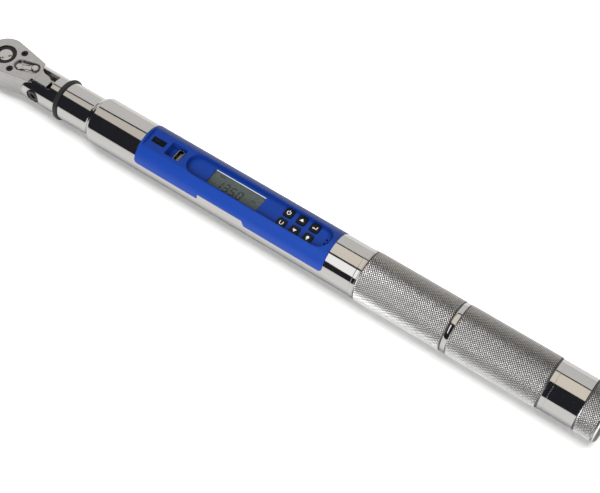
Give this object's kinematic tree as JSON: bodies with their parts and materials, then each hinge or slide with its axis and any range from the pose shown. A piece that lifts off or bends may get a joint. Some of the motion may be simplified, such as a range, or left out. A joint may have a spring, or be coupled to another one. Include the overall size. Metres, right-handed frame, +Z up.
{
  "type": "torque wrench",
  "caption": "Electronic torque wrench: flex ratchet head with square drive, chromed tube, blue display housing with keys, knurled grip and screw-off battery cap.",
  "frame": {"origin": "on the surface the wrench lies on, under the middle of its length and of its width", "axes": "+X along the tube from the head to the battery cap, +Z up through the display, +Y to the wrench's far side"},
  "size_m": [0.438, 0.0318, 0.0318],
  "materials": {
    "satin_steel": "satin",
    "chrome_steel": "polished",
    "knurled_steel": "satin",
    "dark_steel": "black oxide",
    "blue_plastic": "satin",
    "black_plastic": "matte",
    "black_rubber": "matte",
    "smoked_window": "gloss",
    "clear_lens": "gloss",
    "lcd_glass": "satin",
    "circuit_green": "satin",
    "led_white": "gloss",
    "gold_contact": "polished",
    "foil_gauge": "satin",
    "wire_red": "satin",
    "cell_wrap": "satin"
  },
  "bodies": {
    "wrench": {"yoke_beam": "chrome_steel", "pivot_screw": "dark_steel", "pivot_washer": "satin_steel", "beam_pins": "satin_steel", "strain_gauges": "foil_gauge", "yoke_o_ring": "black_rubber", "main_tube": "chrome_steel", "display_housing": "blue_plastic", "indicator_window": "smoked_window", "indicator_led": "led_white", "display_lens": "clear_lens", "lcd_module": "lcd_glass", "circuit_board": "circuit_green", "usb_port": "satin_steel", "key_switches": "black_plastic", "buzzer": "black_plastic", "housing_screws": "dark_steel", "board_screws": "satin_steel", "gauge_wires": "wire_red", "battery_wires": "wire_red", "battery_liner": "black_plastic", "front_contact": "gold_contact", "battery_1": "cell_wrap", "battery_2": "cell_wrap", "battery_3": "cell_wrap", "grip_sleeve": "knurled_steel", "grip_collar": "chrome_steel", "end_band": "chrome_steel"},
    "head": {"head_body": "satin_steel", "head_cover": "satin_steel", "cover_screws": "dark_steel", "reverser_plunger": "satin_steel", "reverser_spring": "satin_steel"},
    "drive": {"drive_gear": "chrome_steel", "gear_retaining_ring": "dark_steel", "detent_spring": "satin_steel"},
    "detent": {"detent_ball": "chrome_steel"},
    "pawl": {"pawl": "satin_steel"},
    "lever": {"reverser_lever": "chrome_steel"},
    "cap_seal": {"cap_seal": "black_rubber"},
    "cap": {"battery_cap": "knurled_steel", "battery_spring": "satin_steel"},
    "key_power": {"key_power": "black_plastic"},
    "key_up": {"key_up": "black_plastic"},
    "key_enter": {"key_enter": "black_plastic"},
    "key_units": {"key_units": "black_plastic"},
    "key_down": {"key_down": "black_plastic"},
    "key_light": {"key_light": "black_plastic"}
  },
  "joints": [
    {"name": "head_flex", "type": "hinge", "parent": "wrench", "child": "head", "pos_m": [-0.1764, 0, 0.0175], "axis": [0, 1, 0], "range_deg": [-15, 15]},
    {"name": "drive_spin", "type": "hinge", "parent": "head", "child": "drive", "pos_m": [-0.2061, 0, 0], "axis": [0, 0, 1], "continuous": true},
    {"name": "detent_press", "type": "slide", "parent": "drive", "child": "detent", "axis": [-1, 0, 0], "range_m": [0, 0.0006], "stiffness_N_per_m": 2500, "springref_m": -0.0006, "deforming": ["detent_spring"]},
    {"name": "reverser_turn", "type": "hinge", "parent": "head", "child": "lever", "pos_m": [-0.1882, 0, 0.0159], "axis": [0, 0, 1], "range_deg": [-24, 0]},
    {"name": "pawl_rock", "type": "hinge", "parent": "head", "child": "pawl", "pos_m": [-0.1882, 0, 0.0159], "axis": [0, 0, 1], "range_deg": [-4, 0]},
    {"name": "cap_travel", "type": "slide", "parent": "wrench", "child": "cap_seal", "axis": [1, 0, 0], "range_m": [0, 0.009]},
    {"name": "cap_turn", "type": "hinge", "parent": "cap_seal", "child": "cap", "pos_m": [0.2119, 0, 0.0159], "axis": [1, 0, 0], "range_deg": [0, 2160]},
    {"name": "key_power_press", "type": "slide", "parent": "wrench", "child": "key_power", "axis": [0, 0, -1], "range_m": [0, 0.0005], "stiffness_N_per_m": 800, "springref_m": -0.0003},
    {"name": "key_up_press", "type": "slide", "parent": "wrench", "child": "key_up", "axis": [0, 0, -1], "range_m": [0, 0.0005], "stiffness_N_per_m": 800, "springref_m": -0.0003},
    {"name": "key_enter_press", "type": "slide", "parent": "wrench", "child": "key_enter", "axis": [0, 0, -1], "range_m": [0, 0.0005], "stiffness_N_per_m": 800, "springref_m": -0.0003},
    {"name": "key_units_press", "type": "slide", "parent": "wrench", "child": "key_units", "axis": [0, 0, -1], "range_m": [0, 0.0005], "stiffness_N_per_m": 800, "springref_m": -0.0003},
    {"name": "key_down_press", "type": "slide", "parent": "wrench", "child": "key_down", "axis": [0, 0, -1], "range_m": [0, 0.0005], "stiffness_N_per_m": 800, "springref_m": -0.0003},
    {"name": "key_light_press", "type": "slide", "parent": "wrench", "child": "key_light", "axis": [0, 0, -1], "range_m": [0, 0.0005], "stiffness_N_per_m": 800, "springref_m": -0.0003}
  ],
  "couplings": [
    {"joint": "pawl_rock", "follows": "reverser_turn", "ratio": 0.16667},
    {"joint": "cap_turn", "follows": "cap_travel", "rad_per_m": 4188.8}
  ]
}
